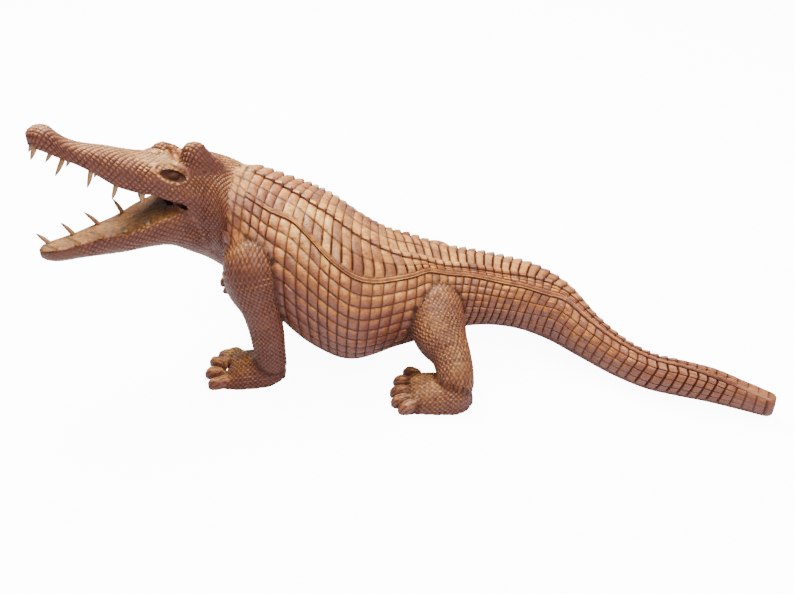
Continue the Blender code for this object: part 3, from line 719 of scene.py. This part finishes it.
def plain_skin(name, rings):
    """Closed skin over rings of equal count."""
    bm = bmesh.new()
    rows = [[bm.verts.new((Vector(p) - ORIGIN) * MM) for p in ring] for ring in rings]
    for low, high in zip(rows, rows[1:]):
        for i in range(len(low)):
            j = (i + 1) % len(low)
            bm.faces.new((low[i], low[j], high[j], high[i]))
    bm.faces.new(rows[0])
    bm.faces.new(rows[-1])
    return finish_skin(name, bm, most_corners=3)


def ball(name, centre, radii, tilt=0.0, rings=14):
    section = ball_section(centre, radii, tilt)
    return plain_skin(name, [section(t)[::4] for t in np.linspace(0, 1, rings)])


def round_ring(along, lean):
    """Twelve points of a unit circle square to the peg."""
    turns = np.radians(np.arange(0, 360, 30))
    return np.outer(np.cos(turns), lean) + np.outer(np.sin(turns), np.cross(along, lean))


def drill(name, row, side):
    mouth, along, lean = peg_axes(row, side)
    ring = round_ring(along, lean) * HOLE_RADIUS
    return plain_skin(name, [mouth + along * d + ring for d in HOLE_SPAN])


place, radii, tilt = MOUTH_HOLLOW
cutters = [ball("mouth_hollow", head_point(*place), radii, tilt, rings=20)]
place, radii, tilt = MOUTH_CORNER
cutters.append(ball("mouth_corner", head_point(*place), radii, tilt))
eyes = []
for tag, sign in (("left", 1), ("right", -1)):
    place = head_point(SOCKET[0], SOCKET[1] * sign, SOCKET[2])
    cutters.append(ball("socket_" + tag, place, SOCKET_RADII, EYE_TILT))
    place = head_point(EYEBALL[0], EYEBALL[1] * sign, EYEBALL[2])
    eyes.append(ball("eyeball_" + tag, place, EYEBALL_RADII))
for (jaw, side), rows in TEETH.items():
    for k, row in enumerate(rows):
        cutters.append(drill("hole_%s_%s_%d" % (jaw, side, k + 1), row, side))


def combine(base, steps):
    """Joins or cuts groups of closed skins and returns one mesh."""
    for label, operation, group in steps:
        holder = bpy.data.collections.new(label)
        bpy.context.scene.collection.children.link(holder)
        for ob in group:
            holder.objects.link(ob)
        mod = base.modifiers.new(label, "BOOLEAN")
        mod.operation = operation
        mod.solver = "MANIFOLD"
        mod.operand_type = "COLLECTION"
        mod.collection = holder
    graph = bpy.context.evaluated_depsgraph_get()
    return bpy.data.meshes.new_from_object(base.evaluated_get(graph))


def grown_tree(points):
    tree = kdtree.KDTree(len(points))
    for i, p in enumerate(points):
        tree.insert(p, i)
    tree.balance()
    return tree


def vertex_places(mesh):
    co = np.empty(len(mesh.vertices) * 3)
    mesh.vertices.foreach_get("co", co)
    return co.reshape(-1, 3)


def marks_of(mesh):
    """Polish and shading, tone and depth of cut of every vertex."""
    table = np.tile((0.5, 0.5, 0.0), (len(mesh.vertices), 1))
    for column, name in enumerate(("polish", "tone", "carve")):
        if name in mesh.attributes:
            values = np.empty(len(mesh.vertices))
            mesh.attributes[name].data.foreach_get("value", values)
            table[:, column] = values
    return table


places = np.vstack([vertex_places(ob.data) for ob in skins])
marks = np.vstack([marks_of(ob.data) for ob in skins])
joined = combine(body, [("joined", "UNION", skins[1:])])
found = grown_tree(places)
here = vertex_places(joined)
nearest = [found.find(p)[1:] for p in here]
# A vertex that lies on none of the skins is new, so it belongs to a seam. A shallow cut runs along every seam.
seam = np.array([distance > 2e-6 for _, distance in nearest])
marks = marks[[i for i, _ in nearest]]
marks[seam, 2] = -0.3
seam_tree = grown_tree(here[seam])
from_seam = np.array([seam_tree.find(p)[2] for p in here])
print("joined mesh: %d vertices, %d of them on seams" % (len(here), seam.sum()))

# %% [markdown]
# On the head the forms flow into each other, so the creases there are rubbed soft: each vertex near a seam
# moves towards the middle of its neighbours, less and less with distance. At the legs only the last edge is
# taken off. A valley is worked in across the head between the brows and the swelling behind them. After
# that the eyelids are raised and the scales are cut in, so the cuts run on over the softened creases.

# %% Rub the creases soft and cut the scales
# Reach of the rubbing from a seam on the head, on its right brows and on the legs; it and the two heights are
# in metres, the valley and the eyelids in millimetres.
HEAD_REACH, RIGHT_BROW_REACH, LEG_REACH = 0.012, 0.006, 0.0030
RUBBING, PASSES = 0.7, 45
HEAD_STARTS, BROW_HEIGHT, SOLE_HEIGHT = -122.0, 0.165, 0.0015
VALLEY_AHEAD, VALLEY_HALF_LENGTH, VALLEY_HALF_WIDTH, VALLEY_DEPTH = 5.0, 3.5, 13.0, 5.5
LID_HEIGHT, LID_PLACE, LID_WIDTH = 0.6, 1.12, 0.12
BOX_MARGIN = 0.0001
edges = np.empty(len(joined.edges) * 2, np.int64)
joined.edges.foreach_get("vertices", edges)
edges = edges.reshape(-1, 2)
degree = np.bincount(edges.ravel(), minlength=len(here)).clip(1)[:, None]
on_head = here[:, 0] < (HEAD_STARTS - ORIGIN.x) * MM
from_hinge = here[:, :2] / MM + np.array(ORIGIN)[:2] - (HEAD_X, HEAD_Y)
leftward = from_hinge @ (math.sin(HEAD_YAW), -math.cos(HEAD_YAW))
right_brow = (leftward < 0) & (here[:, 2] > BROW_HEIGHT)
reach = np.where(on_head, np.where(right_brow, RIGHT_BROW_REACH, HEAD_REACH), LEG_REACH)
weight = np.clip(1.0 - from_seam / reach, 0.0, 1.0)[:, None] * RUBBING
weight[here[:, 2] < SOLE_HEIGHT] = 0.0
for _ in range(PASSES):
    total = np.zeros_like(here)
    np.add.at(total, edges[:, 0], here[edges[:, 1]])
    np.add.at(total, edges[:, 1], here[edges[:, 0]])
    here += weight * (total / degree - here)
ahead = -from_hinge @ (math.cos(HEAD_YAW), math.sin(HEAD_YAW))
valley = np.exp(-((ahead - VALLEY_AHEAD) / VALLEY_HALF_LENGTH) ** 2 - (leftward / VALLEY_HALF_WIDTH) ** 4)
here[:, 2] -= VALLEY_DEPTH * MM * valley * (here[:, 2] > BROW_HEIGHT)
joined.vertices.foreach_set("co", here.ravel())
joined.update()
normals = np.empty(len(here) * 3)
joined.vertices.foreach_get("normal", normals)
ahead -= SOCKET[0]
above = here[:, 2] / MM - SOCKET[2]
long_way = (ahead * math.cos(EYE_TILT) + above * math.sin(EYE_TILT)) / SOCKET_RADII[0]
high_way = (above * math.cos(EYE_TILT) - ahead * math.sin(EYE_TILT)) / SOCKET_RADII[2]
lid = np.exp(-((np.hypot(long_way, high_way) - LID_PLACE) / LID_WIDTH) ** 2) * (np.abs(leftward) > 12)
lift = marks[:, 2] * (1.0 - 0.8 * lid) + LID_HEIGHT * lid
# The lid rims take a high polish value: rubbed varnish on the raised rim and a painted highlight along it.
marks[:, 0] += (0.95 - marks[:, 0]) * lid * 0.7
here += normals.reshape(-1, 3) * lift[:, None] * MM
low, high = np.array(cad_box)
here = np.clip(here, low + (BOX_MARGIN, BOX_MARGIN, 0.0), high - BOX_MARGIN)
joined.vertices.foreach_set("co", here.ravel())
joined.update()
block = bpy.data.objects.new("block", joined)
bpy.context.scene.collection.objects.link(block)

# %% [markdown]
# Then the hollows are cut, and each vertex takes back the polish and shading value of its skin. The inside of
# a hollow can't be rubbed, so it keeps a dark stain, which inside the mouth also stands for painted shade. The
# surface just beside a crease of the limbs is marked for painted shade.

# %% Cut the hollows and set the polish
# Marks for the inside of the hollows: a low polish value, dark stain that inside the mouth is also painted
# shade.
HOLLOW_MARKS = (0.06, 0.5, 0.0)
CREASE_WIDTH = 0.004
SHARP_ANGLE = 38
cut_places = np.vstack([vertex_places(ob.data) for ob in cutters + eyes])
carved = combine(block, [("hollows", "DIFFERENCE", cutters), ("eyeballs", "UNION", eyes)])
found = grown_tree(np.vstack([here, cut_places]))
marks = np.vstack([marks, np.tile(HOLLOW_MARKS, (len(cut_places), 1))])
# Beside the creases of the limbs and body the colour is darkened as painted shade; the head is left out.
outside = np.where(on_head, 1.0, np.clip(from_seam / CREASE_WIDTH, 0.0, 1.0))
crease_shade_mask = np.concatenate([outside, np.ones(len(cut_places))])
nearest = [found.find(v.co)[1] for v in carved.vertices]
kept_marks = {"polish": marks[nearest, 0], "tone": marks[nearest, 1], "crease_shade_mask": crease_shade_mask[nearest]}
for name, data in kept_marks.items():
    layer = carved.attributes.get(name) or carved.attributes.new(name, "FLOAT", "POINT")
    layer.data.foreach_set("value", data.astype(np.float32))
print("carved mesh: %d vertices, %d triangles" % (len(carved.vertices), triangle_count(carved)))
for ob in skins + cutters + eyes + [block]:
    bpy.data.objects.remove(ob)
for p in carved.polygons:
    p.use_smooth = True
carved.set_sharp_from_angle(angle=math.radians(SHARP_ANGLE))
statue = bpy.data.objects.new("carved_wood", carved)
bpy.context.scene.collection.objects.link(statue)
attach(statue, "root")
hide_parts("carving")
print("statue in place, sharp edges kept above %d degrees" % SHARP_ANGLE)

# %% [markdown]
# ## Tooth pegs
# Each tooth is a whittled peg: a round shank in its hole, then a curved taper to a blunt point. Two at the
# back of the lower left row have snapped off short.

# %% Whittle the pegs
# Taper: share of the length and of the radius.
WHOLE_PEG = [(0.25, 0.96), (0.5, 0.84), (0.7, 0.66), (0.86, 0.42), (0.96, 0.2), (1.0, 0.08)]
SNAPPED_PEG = [(0.9, 0.9), (1.0, 0.8)]


def peg(row, side, broken):
    mouth, along, lean = peg_axes(row, side)
    steps = [(-PEG_ROOT, 1.0), (0.0, 1.0)]
    steps += [(row[6] * far, share) for far, share in (SNAPPED_PEG if broken else WHOLE_PEG)]
    rings = []
    for far, share in steps:
        middle = mouth + along * far + lean * PEG_BEND * max(far, 0.0) ** 2 / 15.0
        rings.append(middle + round_ring(along, lean) * PEG_RADIUS * share)
    return rings


pegs = []
for (jaw, side), rows in TEETH.items():
    for k, row in enumerate(rows):
        node = "%s_tooth_%s_%d" % (jaw, side, k + 1)
        ob = plain_skin("peg_" + node, peg(row, side, (jaw, side, k + 1) in BROKEN))
        for p in ob.data.polygons:
            p.use_smooth = True
        ob.data.set_sharp_from_angle(angle=math.radians(50))
        mouth, along, _ = peg_axes(row, side)
        layer = ob.data.attributes.new("along", "FLOAT", "POINT")
        share = (vertex_places(ob.data) / MM + np.array(ORIGIN) - mouth) @ along / row[6]
        layer.data.foreach_set("value", share.astype(np.float32))
        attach(ob, "root")
        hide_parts(node)
        pegs.append(ob)
print("pegs:", len(pegs))

# %% [markdown]
# ## The finish
# The wood is stained reddish brown and varnished. The stain lies dark in the cuts. The faces that point up are
# a golden tan, partly rubbed varnish and partly painted light from above, with a painted highlight on the
# faces that point straight up, and the sides keep a redder, duller brown. Painted shade darkens the inside of
# the mouth, the foot of the crest under its notches and the creases where the limbs meet the body. Fine grain
# runs along the block. The shader follows those causes: the polish and shading value made by the carving, the
# direction a spot faces, and noise stretched along the grain.

# %% Wood and peg materials
def new_material(name):
    mat = bpy.data.materials.new(name)
    mat.use_nodes = True
    return mat, mat.node_tree, mat.node_tree.nodes["Principled BSDF"]


def node(tree, kind, inputs=None, **settings):
    n = tree.nodes.new(kind)
    for key, value in settings.items():
        setattr(n, key, value)
    for key, value in (inputs or {}).items():
        if isinstance(value, bpy.types.NodeSocket):
            tree.links.new(value, n.inputs[key])
        else:
            n.inputs[key].default_value = value
    return n


def blend_colour(tree, factor, low, high):
    n = node(tree, "ShaderNodeMix", data_type="RGBA")
    for index, value in ((0, factor), (6, low), (7, high)):
        if isinstance(value, bpy.types.NodeSocket):
            tree.links.new(value, n.inputs[index])
        else:
            n.inputs[index].default_value = value
    return n.outputs[2]


def remap(tree, value, low, high, to_low=0.0, to_high=1.0):
    return node(tree, "ShaderNodeMapRange", {0: value, 1: low, 2: high, 3: to_low, 4: to_high}).outputs[0]


def maths(tree, how, a, b):
    return node(tree, "ShaderNodeMath", {0: a, 1: b}, operation=how).outputs[0]


def mark(tree, name):
    return node(tree, "ShaderNodeAttribute", attribute_name=name).outputs["Fac"]


def speckle(tree, place, scale, detail):
    inputs = {"Vector": place, "Scale": scale, "Detail": detail}
    return node(tree, "ShaderNodeTexNoise", inputs).outputs["Fac"]


def bump(tree, height, strength, distance, under=None):
    n = node(tree, "ShaderNodeBump", {"Strength": strength, "Distance": distance, "Height": height})
    if under:
        tree.links.new(under, n.inputs["Normal"])
    return n.outputs[0]


def wood_material():
    mat, tree, shader = new_material("varnished_wood")
    place = node(tree, "ShaderNodeTexCoord").outputs["Object"]
    stretched = node(tree, "ShaderNodeMapping", {"Vector": place, "Scale": (0.12, 1.0, 1.0)}).outputs[0]
    grain = speckle(tree, stretched, 900.0, 4.0)
    streaks = speckle(tree, stretched, 160.0, 3.0)
    patches = speckle(tree, place, 22.0, 3.0)
    mottle = speckle(tree, place, 300.0, 5.0)
    knife = speckle(tree, place, 420.0, 2.0)
    normal = node(tree, "ShaderNodeNewGeometry").outputs["Normal"]
    facing = node(tree, "ShaderNodeSeparateXYZ", {0: normal}).outputs[2]
    along = node(tree, "ShaderNodeSeparateXYZ", {0: place}).outputs[0]

    # Golden tan where the wood faces up, partly rubbed varnish and partly painted light from above; less on
    # the head, the shoulder and the end of the tail.
    top_light_from = remap(tree, along, -0.16, -0.05, 0.45, 0.1)
    uneven = maths(tree, "ADD", facing, maths(tree, "SUBTRACT", patches, 0.5))
    top = remap(tree, uneven, top_light_from, 1.0)
    top = maths(tree, "MULTIPLY", top, remap(tree, along, 0.09, 0.22, 1.0, 0.35))
    body = blend_colour(tree, top, (0.18, 0.050, 0.034, 1), (1.0, 0.37, 0.070, 1))
    # A painted highlight: a brighter yellow on the faces that point most nearly straight up.
    body = blend_colour(tree, remap(tree, top, 0.55, 1.0, 0.0, 0.7), body, (1.0, 0.53, 0.13, 1))
    # Darker streaks, single darker tiles and scales, grain and mottling.
    body = blend_colour(tree, remap(tree, streaks, 0.4, 0.75, 0.0, 0.7), body, (0.32, 0.095, 0.032, 1))
    tone = remap(tree, mark(tree, "tone"), 0.4, 1.0, 0.0, 0.75)
    body = blend_colour(tree, tone, body, (0.17, 0.058, 0.044, 1))
    body = blend_colour(tree, remap(tree, grain, 0.3, 0.75, 0.0, 0.45), body, (0.11, 0.035, 0.018, 1))
    body = blend_colour(tree, remap(tree, mottle, 0.48, 0.72, 0.0, 0.65), body, (0.15, 0.045, 0.022, 1))
    # The stain stays dark in the cuts, where nothing rubs. The same dark is painted shade inside the mouth and
    # under the crest's notches, and the creases of the limbs are darkened as painted shade.
    shade_by_creases = remap(tree, mark(tree, "crease_shade_mask"), 0.0, 1.0, 0.35, 1.0)
    wear_and_shading = maths(tree, "MULTIPLY", remap(tree, mark(tree, "polish"), 0.0, 0.85), shade_by_creases)
    colour = blend_colour(tree, wear_and_shading, (0.038, 0.015, 0.011, 1), body)

    tree.links.new(colour, shader.inputs["Base Color"])
    tree.links.new(remap(tree, grain, 0.3, 0.7, 0.34, 0.5), shader.inputs["Roughness"])
    tree.links.new(remap(tree, wear_and_shading, 0.3, 1.0, 0.0, 0.12), shader.inputs["Coat Weight"])
    tree.links.new(remap(tree, wear_and_shading, 0.0, 0.9, 0.05, 0.32), shader.inputs["Specular IOR Level"])
    shader.inputs["Coat Roughness"].default_value = 0.2
    facets = bump(tree, knife, 0.8, 0.0008)
    tree.links.new(bump(tree, grain, 0.6, 0.0003, facets), shader.inputs["Normal"])
    return mat


def peg_material():
    mat, tree, shader = new_material("tooth_pegs")
    blotch = speckle(tree, node(tree, "ShaderNodeTexCoord").outputs["Object"], 700.0, 3.0)
    mixed = remap(tree, blotch, 0.35, 0.65)
    shank = blend_colour(tree, mixed, (0.36, 0.17, 0.05, 1), (0.24, 0.10, 0.032, 1))
    near_tip = remap(tree, mark(tree, "along"), 0.62, 1.0)
    colour = blend_colour(tree, near_tip, shank, (0.10, 0.065, 0.05, 1))
    tree.links.new(colour, shader.inputs["Base Color"])
    tree.links.new(remap(tree, blotch, 0.3, 0.7, 0.3, 0.5), shader.inputs["Roughness"])
    return mat


carved.materials.clear()
carved.materials.append(wood_material())
peg_finish = peg_material()
for ob in pegs:
    ob.data.materials.append(peg_finish)
print("materials:", [m.name for m in bpy.data.materials if m.users])

# %% [markdown]
# ## Setting and camera
# The piece was photographed on a white table under wide soft light from above, with the camera 35 degrees
# above the table and close to the piece, so the head and tail spread a little.

# %% Table, light and camera
TABLE_HEIGHT = -0.0004
TABLE_GLOW = 11.0
CAMERA_PLACE = Vector((0.0, -651.2, 456.0))
CAMERA_DOWN = 35.0
floor_mesh = bpy.data.meshes.new("table")
corners = [(x, y, TABLE_HEIGHT) for x, y in ((-6, -6), (6, -6), (6, 6), (-6, 6))]
floor_mesh.from_pydata(corners, [], [(0, 1, 2, 3)])
table = bpy.data.objects.new("table", floor_mesh)
bpy.context.scene.collection.objects.link(table)
mat, tree, shader = new_material("white_table")
shader.inputs["Base Color"].default_value = (0.90, 0.92, 0.97, 1)
shader.inputs["Roughness"].default_value = 0.8
# The photo's white is overexposed. A glow that only the camera sees lifts the table to it, so that the wood
# keeps a normal exposure.
seen = node(tree, "ShaderNodeLightPath").outputs["Is Camera Ray"]
shader.inputs["Emission Color"].default_value = (0.98, 0.99, 1.0, 1)
tree.links.new(maths(tree, "MULTIPLY", seen, TABLE_GLOW), shader.inputs["Emission Strength"])
floor_mesh.materials.append(mat)

world = bpy.data.worlds.new("soft_room")
bpy.context.scene.world = world
world.use_nodes = True
world.node_tree.nodes["Background"].inputs[0].default_value = (0.95, 0.97, 1.0, 1)
world.node_tree.nodes["Background"].inputs[1].default_value = 0.5


def soft_light(name, place, size, power, colour=(1, 1, 1)):
    data = bpy.data.lights.new(name, "AREA")
    data.size = size
    data.energy = power
    data.color = colour
    ob = bpy.data.objects.new(name, data)
    bpy.context.scene.collection.objects.link(ob)
    ob.location = place
    ob.rotation_euler = (-Vector(place)).to_track_quat("-Z", "Y").to_euler()


soft_light("window", (-0.4, 0.8, 1.5), 0.8, 70.0, (1.0, 0.97, 0.92))
soft_light("ceiling", (0.5, -0.6, 1.7), 1.2, 40.0)

camera_data = bpy.data.cameras.new("camera")
camera_data.sensor_width = 36.0
camera_data.lens = 36.27
camera = bpy.data.objects.new("camera", camera_data)
bpy.context.scene.collection.objects.link(camera)
camera.location = (CAMERA_PLACE - ORIGIN) * MM
camera.rotation_euler = (math.radians(90.0 - CAMERA_DOWN), 0.0, 0.0)
bpy.context.scene.camera = camera
print("camera at", [round(c, 3) for c in camera.location])
